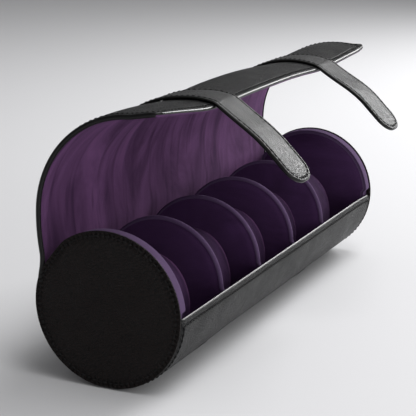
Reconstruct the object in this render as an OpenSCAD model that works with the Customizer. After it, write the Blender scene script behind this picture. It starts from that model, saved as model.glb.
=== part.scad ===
// Cylindrical leather travel case for five watches, modelled open: a stiff round trough
// with a wrap-over flap that folds along the back edge, and two strap tabs.
// +X runs along the case, the open front faces -Y, +Z is up, and the case stands on z = 0.

/* [Case] */
// Length of the case over its end faces
case_length = 320; // [260:1:400]
// Outer radius of the round body
body_radius = 45.5; // [40:0.5:55]
// Depth that the underside of the body is pressed flat
body_flat = 0.7; // [0.3:0.1:1]
// Height that the straight upper back wall climbs from the round to the fold
back_wall_height = 14.3; // [10:0.1:20]
// Angle, up from the front round the bottom, at which the back wall leaves the round
back_wall_angle = 168; // [162:1:172]

/* [Body layers] */
// Thickness of the outer leather
leather_thickness = 1.4; // [1:0.1:2]
// Thickness of the stiffening board
board_thickness = 1; // [0.8:0.1:2]
// Thickness of the suede lining
lining_thickness = 0.7; // [0.5:0.1:1.2]
// Thickness of the glue line between two layers
glue_line = 0.05; // [0.02:0.01:0.1]
// Angle that the bound front edge covers below its bead
lip_angle = 4; // [3:0.5:8]

/* [End discs] */
// Thickness of each end disc
disc_thickness = 9; // [8:0.5:16]
// Clearance between an end disc and the lining
disc_clearance = 0.1; // [0.05:0.05:0.3]
// Thickness of the leather on the outside of an end disc
face_leather = 1.2; // [0.8:0.1:2]
// Distance that this leather's edge stays inside the body's outer radius
face_step = 0.4; // [0.3:0.1:1]
// Distance that the padded free edge stays inside the leather's
pad_step = 0.6; // [0.4:0.1:1.5]
// Depth of the flat at the back of an end disc, where the closed flap crosses it
disc_flat = 1.8; // [1.8:0.1:2.5]
// Angle up from the front at which that flat lies
flat_angle = 140; // [138:1:142]
// Thickness of the suede round an end disc
disc_suede = 0.8; // [0.5:0.1:1.5]

/* [Dividers] */
// Number of dividers
divider_count = 4; // [4:1:4]
// Distance from the left end to the first divider, as a share of the length
first_divider = 0.2125; // [0.19:0.0025:0.22]
// Distance from one divider to the next, as a share of the length
divider_pitch = 0.172; // [0.16:0.001:0.18]
// Thickness of a divider
divider_thickness = 3.2; // [3:0.1:4.5]
// Thickness of the board inside a divider
divider_board = 1.6; // [1:0.1:2]
// Radius of the free upper edge of a divider
divider_top_radius = 39.5; // [37:0.5:40]
// Distance that the upper edge's centre lies below the case's centre line
divider_drop = 2; // [1:0.5:4]

/* [Pillows] */
// Width of a pillow along the case
pillow_width = 44; // [36:1:46]
// Depth of a pillow from front to back
pillow_depth = 54; // [44:1:58]
// Height of a pillow
pillow_height = 64; // [52:1:68]
// Distance that a pillow's end bulges at its middle
pillow_crown = 2.5; // [1:0.5:4]
// Share by which the sewn edge draws the pillow in
pillow_draw = 0.045; // [0.02:0.005:0.08]
// Thickness of the padding and suede over a pillow's foam core
pillow_padding = 6; // [4:0.5:8]
// Gap between a pillow and the lining under it
pillow_gap = 0.35; // [0.3:0.05:0.6]

/* [Flap] */
// Thickness of the flap with its lining
flap_thickness = 3; // [2.6:0.1:4]
// Thickness of the flap's suede lining
flap_lining = 1.2; // [0.8:0.1:1.6]
// Width of the turned leather edge round the flap's lining
flap_border = 5; // [3:0.5:8]
// Radius of the flap's rounded front corners
flap_corner = 6; // [4:1:14]
// Direction in which the open flap rises from the fold
flap_rise = 101; // [98:1:104]
// Outer radius to which the open flap bends
flap_radius = 60; // [58:0.5:63]
// Angle through which each curved part of the flap turns
part_turn = 26.75; // [26:0.25:27.5]
// Length of the nearly straight part next to the fold
first_length = 28; // [27:0.5:29]
// Angle through which the nearly straight part turns
first_turn = 14; // [12:0.5:16]
// Gap between two parts of the flap
part_gap = 0.8; // [0.7:0.1:1]
// Gap between the body and the flap at the fold
fold_gap = 0.4; // [0.3:0.1:0.6]
// Angle cut off the back wall's end, for the flap to fold forward into
fold_cut = 30; // [29:1:35]

/* [Straps] */
// Width of a strap
strap_width = 28; // [24:1:40]
// Thickness of the strap sewn on the flap and the body
strap_thickness = 2; // [1.5:0.1:2.5]
// Distance from the middle of the case to the middle of a strap
strap_offset = 82.5; // [60:0.5:110]
// Angle below the front at which the strap ends under the body
strap_end_angle = 63; // [58:1:68]
// Radius of the corners at that end
strap_corner = 8; // [4:1:12]
// Height above the ground of the round body's flat underside
strap_foot = 0.9; // [0.8:0.1:1.2]

/* [Tabs] */
// Length of each half of a strap tab
tab_half = 31; // [28:1:36]
// Thickness of a tab
tab_thickness = 2.4; // [2:0.1:3]
// Angle by which a tab turns down from the flap's front edge
tab_kink = 12; // [9:1:15]
// Angle through which each half of a tab bends
tab_turn = 9; // [7:1:12]
// Radius of the corners at a tab's end
tab_corner = 12; // [8:1:12]
// Gap at the bending place in the middle of a tab
tab_gap = 0.6; // [0.5:0.1:0.8]
// Gap at the root of a tab, wide enough for the tab to be lifted
root_gap = 1; // [0.9:0.1:1.2]
// Radius of a magnet
magnet_radius = 4; // [3:0.5:5]
// Thickness of a magnet
magnet_thickness = 1; // [0.8:0.1:1.1]
// Distance from a tab's end to its magnet's centre
magnet_setback = 16; // [14:1:20]
// Angle below the front of the magnet under the body
magnet_angle = 69; // [68:0.5:70]

/* [Hidden] */
$fn = 96;

black_leather = "#1b1b1d";
strap_leather = "#2a2a2d";
purple_suede = "#4a2a5e";
light_suede = "#7c6090";
dark_suede = "#3a2049";
board_grey = "#8d8478";
foam_white = "#d8d4cc";
magnet_steel = "#9a9da1";

half_length = case_length / 2;
reach = 8 * body_radius; // longer than anything that is cut with it
cut_margin = 1;
corner_lead = 0.1; // how much nearer to the edges a rounded corner's centre is than its radius

// body layers, from the outside in
leather_inner = body_radius - leather_thickness;
board_outer = leather_inner - glue_line;
board_inner = board_outer - board_thickness;
lining_outer = board_inner - glue_line;
lining_inner = lining_outer - lining_thickness;
disc_radius = lining_inner - disc_clearance;
bead_radius = (body_radius - lining_inner) / 2;
shell_half = half_length - face_leather - glue_line; // the end discs' leather covers the layers' ends
face_radius = body_radius - face_step;
pad_radius = face_radius - pad_step;
strap_inner = body_radius + glue_line;
strap_outer = strap_inner + strap_thickness;
body_bottom = body_radius - body_flat;
foot_bottom = body_bottom + strap_foot;
lip_seam = 0.15; // angle left open under the bound edge
shell_start = lip_angle + lip_seam;
shell_end = 360 - back_wall_angle;

// the fold: an axis just outside the straps, at the top of the back wall
fold_clearance = 0.3;
fold_u = strap_outer + fold_clearance;
fold_v = back_wall_height + fold_gap;
fold = fold_u * direction(back_wall_angle) + fold_v * direction(back_wall_angle - 90);

// the flap's parts; bending is about a line halfway through the flap and its straps
part_count = 5;
bend_depth = (flap_thickness + strap_thickness) / 2;
curved_inner = flap_radius - flap_thickness;
curved_bend = curved_inner + bend_depth;
first_bend = first_length / radians(first_turn);

// the tabs
band_middle = flap_thickness + strap_thickness / 2;
tab_radius = tab_half / radians(tab_turn);
flap_end = part_end(part_count - 1);
flap_end_rise = part_rise(part_count);
tab_start = flap_end + (band_middle - bend_depth) * direction(flap_end_rise + 90);
tab_rise = flap_end_rise - tab_kink;
tab_tip = tab_point(2) + tab_thickness / 2 * direction(tab_rise - 2 * tab_turn + 90);

// the case stands with the middle of its whole outline over the origin
axis_y = (tab_tip[0] - strap_outer) / 2;
axis_z = foot_bottom;

// pillows
pillow_rings = 16;
pillow_sides = 36;
pillow_squareness = 0.4;
seam_setback = 7; // from a pillow's end to its sewn edge
seam_reach = 5;
pillow_barrel = 0.03; // share by which a pillow narrows towards its ends
pillow_centre = -lining_inner + pillow_gap + pillow_height / 2;

function direction(a) = [cos(a), sin(a)];
function radians(a) = a * PI / 180;

// centre of the bay between two dividers, or between a divider and an end disc
function divider_x(k) = -half_length + (first_divider + (k - 1) * divider_pitch) * case_length;
function bay_edge(k) = k == 0 ? -half_length + disc_thickness
    : k == divider_count + 1 ? half_length - disc_thickness
    : divider_x(k);
function bay_x(k) = (bay_edge(k - 1) + bay_edge(k)) / 2;

// a part of the flap starts where the one before ends, and turns towards the front
function part_turn_of(i) = i == 0 ? first_turn : part_turn;
function part_bend(i) = i == 0 ? first_bend : curved_bend;
function part_rise(i) = i == 0 ? flap_rise : part_rise(i - 1) - part_turn_of(i - 1);
function part_start(i) = i == 0
    ? fold + (flap_thickness + strap_thickness + fold_clearance - bend_depth) * direction(flap_rise - 90)
        + fold_gap * direction(flap_rise)
    : part_end(i - 1);
function part_centre(i) = part_start(i) + part_bend(i) * direction(part_rise(i) - 90);
function part_end(i) = part_centre(i) + part_bend(i) * direction(part_rise(i) - part_turn_of(i) + 90);

// the same for the two halves of a tab
function tab_centre(i) = tab_point(i) + tab_radius * direction(tab_rise - i * tab_turn - 90);
function tab_point(i) = i == 0 ? tab_start
    : tab_centre(i - 1) + tab_radius * direction(tab_rise - i * tab_turn + 90);

// puts the case's centre line at its place
module on_case() {
    translate([0, axis_y, axis_z]) children();
}

// draws a side view, with the front to the right, and carries it along the case
module along(from, to) {
    on_case() rotate([90, 0, -90]) translate([0, 0, -to]) linear_extrude(height = to - from) children();
}

module wedge(from, to) {
    steps = 12;
    polygon([[0, 0], for (i = [0 : steps]) reach * direction(from + (to - from) * i / steps)]);
}

module ring(inner, outer, from, to) {
    intersection() {
        difference() {
            circle(r = outer);
            circle(r = inner);
        }
        wedge(from, to);
    }
}

// the body's outline at a radius: round, with the straight back wall running up from it
module body_outline(radius) {
    circle(r = radius);
    rotate(back_wall_angle) translate([0, -2 * back_wall_height]) square([radius, 2 * back_wall_height]);
}

// everything from the front edge round the bottom to the top of the back wall
module body_span(start_angle) {
    steps = 8;
    polygon([
        [0, 0],
        for (i = [0 : steps]) reach * direction(-start_angle - (shell_end - start_angle) * i / steps),
        wall_top(2 * strap_outer),
        wall_top(0)
    ]);
}

// the line along which the top of the back wall is cut, sloping down inwards
function wall_top(depth) = depth * direction(back_wall_angle)
    + (back_wall_height - (strap_outer - depth) * tan(fold_cut)) * direction(back_wall_angle - 90);

// one layer of the body
module shell_layer(inner, outer, start_angle) {
    intersection() {
        difference() {
            body_outline(outer);
            body_outline(inner);
        }
        body_span(start_angle);
    }
}

module above(level) {
    translate([-reach, -level]) square([2 * reach, 2 * reach]);
}

// places a piece on the outside of a curved surface: +Y back along it, +Z out of it
module on_surface(point, rise) {
    on_case() translate([0, -point[0], point[1]]) rotate([-rise, 0, 0]) children();
}

// what is cut away to round the two corners of a strip's end
module corner_cuts(middle, width, radius, point, rise) {
    depth = 4 * radius;
    inset = radius - corner_lead;
    on_surface(point, rise) for (side = [-1, 1])
        translate([middle + side * (width / 2 - inset), inset, -depth / 2]) difference() {
            translate([side > 0 ? 0 : -radius - cut_margin, -radius - cut_margin, 0])
                cube([radius + cut_margin, radius + cut_margin, depth]);
            translate([0, 0, -cut_margin]) cylinder(r = radius, h = depth + 2 * cut_margin);
        }
}

/* body */

module body_leather() {
    color(black_leather) along(-shell_half, shell_half) intersection() {
        shell_layer(leather_inner, body_radius, shell_start);
        above(body_bottom);
    }
}

module body_board() {
    color(board_grey) along(-shell_half, shell_half) shell_layer(board_inner, board_outer, shell_start);
}

module body_lining() {
    color(purple_suede) along(-shell_half, shell_half)
        shell_layer(lining_inner, lining_outer, shell_start);
}

// the bound front edge: a bead over the ends of the three layers
module front_lip() {
    color(black_leather) along(-shell_half, shell_half) {
        ring(lining_inner, body_radius, -lip_angle, 0);
        translate([lining_inner + bead_radius, 0]) circle(r = bead_radius);
    }
}

module base_strap(middle) {
    end_point = strap_outer * direction(-strap_end_angle);
    difference() {
        along(middle - strap_width / 2, middle + strap_width / 2) intersection() {
            difference() {
                body_outline(strap_outer);
                intersection() {
                    body_outline(strap_inner);
                    above(body_bottom + glue_line);
                }
            }
            above(foot_bottom);
            body_span(strap_end_angle);
        }
        corner_cuts(middle, strap_width, strap_corner, end_point, -strap_end_angle + 90);
        base_magnet(middle, glue_line);
    }
}

module left_base_strap() {
    color(strap_leather) base_strap(-strap_offset);
}

module right_base_strap() {
    color(strap_leather) base_strap(strap_offset);
}

// a magnet inside the strap under the body; slack makes the pocket that it lies in
module base_magnet(middle, slack) {
    depth = (strap_thickness - magnet_thickness) / 2;
    on_surface((strap_outer - depth) * direction(-magnet_angle), -magnet_angle - 90)
        translate([middle, 0, -magnet_thickness - slack])
            cylinder(r = magnet_radius + slack, h = magnet_thickness + 2 * slack);
}

module base_magnets() {
    color(magnet_steel) for (side = [-1, 1]) base_magnet(side * strap_offset, 0);
}

/* end discs: a board in a suede cover, with leather on the outside */

// draws a side view and carries it through an end disc, between two depths from its outside
module disc_slab(side, outer, inner) {
    along(side < 0 ? outer - half_length : half_length - inner,
        side < 0 ? inner - half_length : half_length - outer) children();
}

module half_plane(angle, distance) {
    rotate(angle) translate([-reach, -reach]) square([reach + distance, 2 * reach]);
}

module disc_crown(radius, inset) {
    intersection() {
        circle(r = radius - inset);
        half_plane(flat_angle, face_radius - disc_flat - inset);
    }
}

// the pad fits the lining below, and above the front edge it is nearly as wide as the body
module pad_outline(inset) {
    circle(r = disc_radius - inset);
    intersection() {
        disc_crown(pad_radius, inset);
        half_plane(back_wall_angle, disc_radius - inset);
        half_plane(back_wall_angle + 90, 0); // above where the back wall leaves the round
        translate([-reach, bead_radius + disc_clearance + inset]) square([2 * reach, reach]);
    }
}

module end_face(side) {
    edge = face_leather / 3;
    intersection() {
        disc_slab(side, 0, face_leather) intersection() {
            disc_crown(face_radius, 0);
            above(body_bottom);
        }
        on_case() translate([side * half_length, 0, 0]) rotate([0, -side * 90, 0])
            cylinder(r1 = face_radius - edge, r2 = face_radius - edge + face_leather, h = face_leather);
    }
}

module end_suede(side) {
    difference() {
        disc_slab(side, face_leather, disc_thickness) pad_outline(0);
        disc_slab(side, face_leather - cut_margin, disc_thickness - disc_suede) pad_outline(disc_suede);
    }
}

module end_board(side) {
    disc_slab(side, face_leather + glue_line, disc_thickness - disc_suede - glue_line)
        pad_outline(disc_suede + glue_line);
}

module left_end_face() {
    color(black_leather) end_face(-1);
}

module right_end_face() {
    color(black_leather) end_face(1);
}

module left_end_suede() {
    color(light_suede) end_suede(-1);
}

module right_end_suede() {
    color(light_suede) end_suede(1);
}

module left_end_board() {
    color(board_grey) end_board(-1);
}

module right_end_board() {
    color(board_grey) end_board(1);
}

/* dividers: lower half to fit the lining, upper edge lower than the end discs */

module divider_outline(inset) {
    shoulder = divider_drop;
    intersection() {
        circle(r = disc_radius - inset);
        translate([-reach, -reach - shoulder]) square([2 * reach, reach]);
    }
    intersection() {
        translate([0, -divider_drop]) circle(r = divider_top_radius - inset);
        translate([-reach, -shoulder - cut_margin]) square([2 * reach, reach]);
    }
}

module divider(k) {
    middle = divider_x(k);
    difference() {
        along(middle - divider_thickness / 2, middle + divider_thickness / 2) divider_outline(0);
        divider_core(k, 0);
    }
}

module divider_core(k, slack) {
    middle = divider_x(k);
    thickness = divider_board - 2 * slack;
    along(middle - thickness / 2, middle + thickness / 2)
        divider_outline((divider_thickness - divider_board) / 2 + slack);
}

module divider_1() {
    color(light_suede) divider(1);
}

module divider_2() {
    color(light_suede) divider(2);
}

module divider_3() {
    color(light_suede) divider(3);
}

module divider_4() {
    color(light_suede) divider(4);
}

module divider_boards() {
    color(board_grey) for (k = [1 : divider_count]) divider_core(k, glue_line);
}

/* pillows: an oval roll with bulging ends, drawn in where its edges are sewn */

function signed_power(value, exponent) = sign(value) * pow(abs(value), exponent);
function pillow_angle(j) = -90 + 180 * j / pillow_rings;
function ring_share(j) = signed_power(cos(pillow_angle(j)), pillow_squareness);
function ring_x(j) = signed_power(sin(pillow_angle(j)), pillow_squareness)
    * (pillow_width / 2 - pillow_crown)
    + sign(pillow_angle(j)) * pillow_crown * (1 - pow(ring_share(j), 2));
function seam_share(x) = let (d = (pillow_width / 2 - seam_setback - abs(x)) / seam_reach)
    abs(d) < 1 ? pow(1 - d * d, 2) : 0;
function ring_size(j) = ring_share(j) * (1 - pillow_draw * seam_share(ring_x(j))
    - pillow_barrel * pow(2 * ring_x(j) / pillow_width, 2));
function pillow_point(j, i) = let (a = 360 * i / pillow_sides)
    [ring_x(j), ring_size(j) * pillow_depth / 2 * cos(a), ring_size(j) * pillow_height / 2 * sin(a)];

module pillow_form() {
    points = [
        pillow_point(0, 0),
        for (j = [1 : pillow_rings - 1]) for (i = [0 : pillow_sides - 1]) pillow_point(j, i),
        pillow_point(pillow_rings, 0)
    ];
    last = len(points) - 1;
    function at(j, i) = 1 + (j - 1) * pillow_sides + i % pillow_sides;
    faces = [
        for (i = [0 : pillow_sides - 1]) [0, at(1, i), at(1, i + 1)],
        for (j = [1 : pillow_rings - 2]) for (i = [0 : pillow_sides - 1])
            each [[at(j, i), at(j + 1, i), at(j + 1, i + 1)], [at(j, i), at(j + 1, i + 1), at(j, i + 1)]],
        for (i = [0 : pillow_sides - 1]) [last, at(pillow_rings - 1, i + 1), at(pillow_rings - 1, i)]
    ];
    polyhedron(points, faces);
}

// the foam core is an upright bar with round ends
module foam_form(slack) {
    width = pillow_width - 2 * pillow_padding - 2 * slack;
    radius = pillow_depth / 2 - pillow_padding - slack;
    rise = (pillow_height - pillow_depth) / 2;
    translate([-width / 2, 0, 0]) rotate([90, 0, 90]) linear_extrude(height = width) {
        for (side = [-1, 1]) translate([0, side * rise]) circle(r = radius);
        translate([-radius, -rise]) square([2 * radius, 2 * rise]);
    }
}

module in_bay(k) {
    on_case() translate([bay_x(k), 0, pillow_centre]) children();
}

module pillow(k) {
    color(dark_suede) in_bay(k) difference() {
        pillow_form();
        foam_form(0);
    }
}

module foam(k) {
    color(foam_white) in_bay(k) foam_form(glue_line);
}

module pillow_1() {
    pillow(1);
}

module pillow_2() {
    pillow(2);
}

module pillow_3() {
    pillow(3);
}

module pillow_4() {
    pillow(4);
}

module pillow_5() {
    pillow(5);
}

module foam_1() {
    foam(1);
}

module foam_2() {
    foam(2);
}

module foam_3() {
    foam(3);
}

module foam_4() {
    foam(4);
}

module foam_5() {
    foam(5);
}

/* flap: five curved parts, each leather with a suede lining let into its inner side */

// a slice of part i, between two depths from its inner side
module part_slice(i, inner, outer, start_trim, end_trim) {
    base = part_bend(i) - bend_depth;
    translate(part_centre(i)) rotate(part_rise(i) + 90)
        ring(base + inner, base + outer, -arc_angle(start_trim, i), -part_turn_of(i) + arc_angle(end_trim, i));
}

function arc_angle(length, i) = length / part_bend(i) * 180 / PI;
function start_trim(i) = i == 0 ? 0 : part_gap / 2;
function end_trim(i) = i == part_count - 1 ? 0 : part_gap / 2;
function lining_trim(i) = i == part_count - 1 ? flap_border : part_gap / 2;

module flap_leather(i) {
    recess = half_length - flap_border;
    front_point = flap_end - bend_depth * direction(flap_end_rise + 90);
    color(black_leather) difference() {
        along(-half_length, half_length) part_slice(i, 0, flap_thickness, start_trim(i), end_trim(i));
        along(-recess, recess) part_slice(i, -cut_margin, flap_lining, -cut_margin,
            i == part_count - 1 ? flap_border : -cut_margin);
        if (i == part_count - 1)
            corner_cuts(0, case_length, flap_corner, front_point, flap_end_rise);
    }
}

module flap_lining(i) {
    recess = half_length - flap_border - glue_line;
    color(purple_suede) along(-recess, recess)
        part_slice(i, 0, flap_lining - glue_line, start_trim(i), lining_trim(i));
}

module flap_straps(i) {
    color(strap_leather) for (side = [-1, 1])
        along(side * strap_offset - strap_width / 2, side * strap_offset + strap_width / 2)
            part_slice(i, flap_thickness + glue_line, flap_thickness + strap_thickness, start_trim(i), end_trim(i));
}

module flap_leather_1() {
    flap_leather(0);
}

module flap_leather_2() {
    flap_leather(1);
}

module flap_leather_3() {
    flap_leather(2);
}

module flap_leather_4() {
    flap_leather(3);
}

module flap_leather_5() {
    flap_leather(4);
}

module flap_lining_1() {
    flap_lining(0);
}

module flap_lining_2() {
    flap_lining(1);
}

module flap_lining_3() {
    flap_lining(2);
}

module flap_lining_4() {
    flap_lining(3);
}

module flap_lining_5() {
    flap_lining(4);
}

module flap_straps_1() {
    flap_straps(0);
}

module flap_straps_2() {
    flap_straps(1);
}

module flap_straps_3() {
    flap_straps(2);
}

module flap_straps_4() {
    flap_straps(3);
}

module flap_straps_5() {
    flap_straps(4);
}

/* tabs: the free ends of the straps, in two halves, with a magnet sewn into the end */

module tab_slice(i, middle, start_trim, end_trim) {
    per_mm = tab_turn / tab_half;
    along(middle - strap_width / 2, middle + strap_width / 2)
        translate(tab_centre(i)) rotate(tab_rise - i * tab_turn + 90)
            ring(tab_radius - tab_thickness / 2, tab_radius + tab_thickness / 2,
                -start_trim * per_mm, -tab_turn + end_trim * per_mm);
}

module tab_root(middle) {
    color(strap_leather) tab_slice(0, middle, root_gap, tab_gap / 2);
}

module tab_end(middle) {
    color(strap_leather) difference() {
        tab_slice(1, middle, tab_gap / 2, 0);
        corner_cuts(middle, strap_width, tab_corner, tab_point(2), tab_rise - 2 * tab_turn);
        tab_magnet(middle, glue_line);
    }
}

module tab_magnet(middle, slack) {
    turned = tab_rise - 2 * tab_turn + magnet_setback * tab_turn / tab_half;
    place = tab_centre(1) + tab_radius * direction(turned + 90);
    on_surface(place, turned) translate([middle, 0, -magnet_thickness / 2 - slack])
        cylinder(r = magnet_radius + slack, h = magnet_thickness + 2 * slack);
}

module left_tab_root() {
    tab_root(-strap_offset);
}

module left_tab_end() {
    tab_end(-strap_offset);
}

module left_tab_magnet() {
    color(magnet_steel) tab_magnet(-strap_offset, 0);
}

module right_tab_root() {
    tab_root(strap_offset);
}

module right_tab_end() {
    tab_end(strap_offset);
}

module right_tab_magnet() {
    color(magnet_steel) tab_magnet(strap_offset, 0);
}

body_leather();
body_board();
body_lining();
front_lip();
left_base_strap();
right_base_strap();
base_magnets();
left_end_face();
left_end_suede();
left_end_board();
right_end_face();
right_end_suede();
right_end_board();
divider_1();
divider_2();
divider_3();
divider_4();
divider_boards();
pillow_1();
pillow_2();
pillow_3();
pillow_4();
pillow_5();
foam_1();
foam_2();
foam_3();
foam_4();
foam_5();
flap_leather_1();
flap_leather_2();
flap_leather_3();
flap_leather_4();
flap_leather_5();
flap_lining_1();
flap_lining_2();
flap_lining_3();
flap_lining_4();
flap_lining_5();
flap_straps_1();
flap_straps_2();
flap_straps_3();
flap_straps_4();
flap_straps_5();
left_tab_root();
left_tab_end();
left_tab_magnet();
right_tab_root();
right_tab_end();
right_tab_magnet();
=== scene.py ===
import math
import bpy
import numpy as np
from mathutils import Matrix


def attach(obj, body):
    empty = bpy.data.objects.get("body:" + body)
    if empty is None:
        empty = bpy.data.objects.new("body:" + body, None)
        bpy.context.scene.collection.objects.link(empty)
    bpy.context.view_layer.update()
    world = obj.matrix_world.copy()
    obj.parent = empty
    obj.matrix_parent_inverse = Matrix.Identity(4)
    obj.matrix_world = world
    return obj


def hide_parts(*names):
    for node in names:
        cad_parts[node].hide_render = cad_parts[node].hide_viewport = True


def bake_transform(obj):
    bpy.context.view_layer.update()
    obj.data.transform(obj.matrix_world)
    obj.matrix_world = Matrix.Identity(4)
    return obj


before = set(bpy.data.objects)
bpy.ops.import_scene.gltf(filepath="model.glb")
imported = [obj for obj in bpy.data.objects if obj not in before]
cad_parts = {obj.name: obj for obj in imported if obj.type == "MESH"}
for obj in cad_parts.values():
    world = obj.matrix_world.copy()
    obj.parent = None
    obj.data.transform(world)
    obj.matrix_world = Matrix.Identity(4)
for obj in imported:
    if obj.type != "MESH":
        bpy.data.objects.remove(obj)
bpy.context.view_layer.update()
print("frame loaded:", len(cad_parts), "nodes")

# All shape work is in millimetres, seen from the side as (front, up) from the case's centre line.
# The leather is one long sheet: s is the length along it, from the front edge round the bottom,
# up the back and over the flap, x runs along the case, and h is the height through its thickness.
caseShape = {
    "halfLength": 160.0, "axisY": 18.6133, "axisZ": 45.7, "bodyRadius": 45.5, "wallAngle": 168.0,
    "wallHeight": 14.3, "sheetThickness": 3.0, "bandThickness": 2.0, "bandClearance": 0.05,
    "foldClearance": 0.3, "foldGap": 0.4, "flapRise": 101.0, "flapRadius": 60.0,
    "firstLength": 28.0, "turns": (14.0, 26.75, 26.75, 26.75, 26.75), "discRadius": 42.2,
    "faceRadius": 45.1, "padRadius": 44.5, "flatDistance": 43.9, "flatAngle": 141.0,
    "flatBelow": 44.8, "discFlatBelow": 44.7, "faceThickness": 1.2, "discThickness": 9.0,
}
halfLength = caseShape["halfLength"]


def heading(angle):
    return np.array([math.cos(math.radians(angle)), math.sin(math.radians(angle))])


def unit(vectors):
    return vectors / np.linalg.norm(vectors, axis=-1, keepdims=True)


def bell(distance, width):
    return np.exp(-(distance / width) ** 2)


def quarterRound(distance, radius):
    # sqrt(1 - (1 - distance / radius)^2): 0 at an edge, and 1 from the radius on
    return np.sqrt(1 - (1 - np.minimum(distance, radius) / radius) ** 2)


def fullTurn(count):
    return np.linspace(0, 2 * np.pi, count, endpoint=False)


def arcPoints(centre, radius, first, last, step=0.5):
    # points every step mm along an arc: centre + radius * (cos, sin)
    count = max(2, int(abs(math.radians(last - first)) * radius / step) + 1)
    angles = np.radians(np.linspace(first, last, count))
    return centre + radius * np.stack([np.cos(angles), np.sin(angles)], 1)


def hermite(p, q, startTangent, endTangent, count=24):
    # cubic through two points with given end tangents
    t = np.linspace(0, 1, count)[:, None]
    return ((2 * t**3 - 3 * t**2 + 1) * p + (t**3 - 2 * t**2 + t) * startTangent
            + (3 * t**2 - 2 * t**3) * q + (t**3 - t**2) * endTangent)


def stepLengths(points):
    return np.linalg.norm(np.diff(points, axis=0), axis=1)


def makePath(pieces):
    # joins runs of points into one path with its length, points and outward normals; each path
    # starts where outward is forwards
    points = np.concatenate(pieces)
    points = points[np.append(True, stepLengths(points) > 1e-4)]
    length = np.append(0, np.cumsum(stepLengths(points)))
    tangent = unit(np.gradient(points, length, axis=0))
    normal = np.stack([-tangent[:, 1], tangent[:, 0]], 1)
    return {"s": length, "p": points, "n": -normal if normal[0, 0] < 0 else normal}


def alongPath(path, s, h):
    # point at length s, moved h along the path's outward normal
    front, up, nf, nu = (np.interp(s, path["s"], path[key][:, k]) for key in "pn" for k in (0, 1))
    size = np.hypot(nf, nu)
    return front + h * nf / size, up + h * nu / size


def lengthAt(path, point):
    return float(path["s"][np.argmin(np.linalg.norm(path["p"] - point, axis=1))])


def smooth(value, low, high):
    t = np.clip((value - low) / (high - low), 0, 1)
    return t * t * (3 - 2 * t)


# the fold line, and the lines about which the flap's parts bend
fold = {"wallRun": 9.0, "ease": 8.0, "lean": 1.5, "steps": 6, "seamBelow": 8.0, "partAbove": 2.0}
sheetThickness, bandThickness = caseShape["sheetThickness"], caseShape["bandThickness"]
wallAngle, wallRise = caseShape["wallAngle"], caseShape["wallAngle"] - 90
bendDepth = (sheetThickness + bandThickness) / 2
foldReach = (caseShape["bodyRadius"] + caseShape["bandClearance"] + bandThickness
             + caseShape["foldClearance"])
foldLine = (foldReach * heading(wallAngle)
            + (caseShape["wallHeight"] + caseShape["foldGap"]) * heading(wallRise))
bendRises = [caseShape["flapRise"]]
bendOut = sheetThickness + bandThickness + caseShape["foldClearance"] - bendDepth
bendLines = [foldLine + bendOut * heading(bendRises[0] - 90)
             + caseShape["foldGap"] * heading(bendRises[0])]
bendRadii = [caseShape["firstLength"] / math.radians(caseShape["turns"][0])]
bendRadii += [caseShape["flapRadius"] - sheetThickness + bendDepth] * 4
bendCentres = []
for turn, radius in zip(caseShape["turns"], bendRadii):
    bendCentres.append(bendLines[-1] + radius * heading(bendRises[-1] - 90))
    bendRises.append(bendRises[-1] - turn)
    bendLines.append(bendCentres[-1] + radius * heading(bendRises[-1] + 90))

# the outer face of the leather, from the front edge to the flap's edge
wallEnd = caseShape["bodyRadius"] * heading(wallAngle) + fold["wallRun"] * heading(wallRise)
flapRuns = [arcPoints(c, r + sheetThickness - bendDepth, rise + 90, rise + 90 - turn)
            for c, r, rise, turn in zip(bendCentres, bendRadii, bendRises, caseShape["turns"])]
flapFoot = flapRuns[0][fold["steps"]]
leatherPath = makePath([
    arcPoints((0, 0), caseShape["bodyRadius"], 0, wallAngle - 360),
    hermite(wallEnd, flapFoot, fold["ease"] * heading(wallRise),
            fold["ease"] * heading(bendRises[0] - fold["lean"])),
    flapRuns[0][fold["steps"] + 1:], *[run[1:] for run in flapRuns[1:]],
])
sheetEnd = float(leatherPath["s"][-1])
foldLength = lengthAt(leatherPath, (wallEnd + flapFoot) / 2)
partLengths = [foldLength + fold["partAbove"]]
partLengths += [lengthAt(leatherPath, run[0]) for run in flapRuns[1:]] + [sheetEnd]
seamLengths = [foldLength - fold["seamBelow"]]
seamLengths += [(a + b) / 2 for a, b in zip(partLengths, partLengths[1:])]

cornerCurl = {
    "near": {"side": -1, "rise": 7.6, "reach": 60.0, "power": 1.3},
    "far": {"side": 1, "rise": 1.2, "reach": 34.0, "power": 1.5},
    "tip": {"rise": 2.8, "reach": 12.0, "power": 2},
    "depth": 24.0,
    "beyond": 8.0,
}
edgeCut = {"back": 4.8, "reach": 55.0, "power": 1.3, "depth": 34.0}
lipDroop = {"drop": 1.2, "reach": 32.0, "power": 1.5, "depth": 26.0}
bodyFade = {"start": 22, "stop": 6}
sides = {"left": -1, "right": 1}
strapPull = {
    "offset": 82.5,
    "fade": 40.0,
    "near": {"side": -1, "depth": 2.6, "edge": 0.7, "reach": 34.0},
    "far": {"side": 1, "depth": 3.4, "edge": 3.0, "reach": 42.0},
}


def faded(distance, shape):
    # (1 - distance / reach)^power: 1 at a distance of 0, and 0 from the reach on
    return np.clip(1 - distance / shape["reach"], 0, 1) ** shape["power"]


def curl(x, s):
    # the flap's free corners stand up, less towards the fold, and the far corner's tip turns up
    # more tightly
    ends = sum(end["rise"] * faded(halfLength - end["side"] * x, end)
               for end in (cornerCurl["near"], cornerCurl["far"]))
    nearEdge = smooth(s, sheetEnd - cornerCurl["depth"], sheetEnd + cornerCurl["beyond"])
    toTip = np.hypot(halfLength - x, sheetEnd - s)
    return ends * nearEdge + cornerCurl["tip"]["rise"] * faded(toTip, cornerCurl["tip"])


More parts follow.
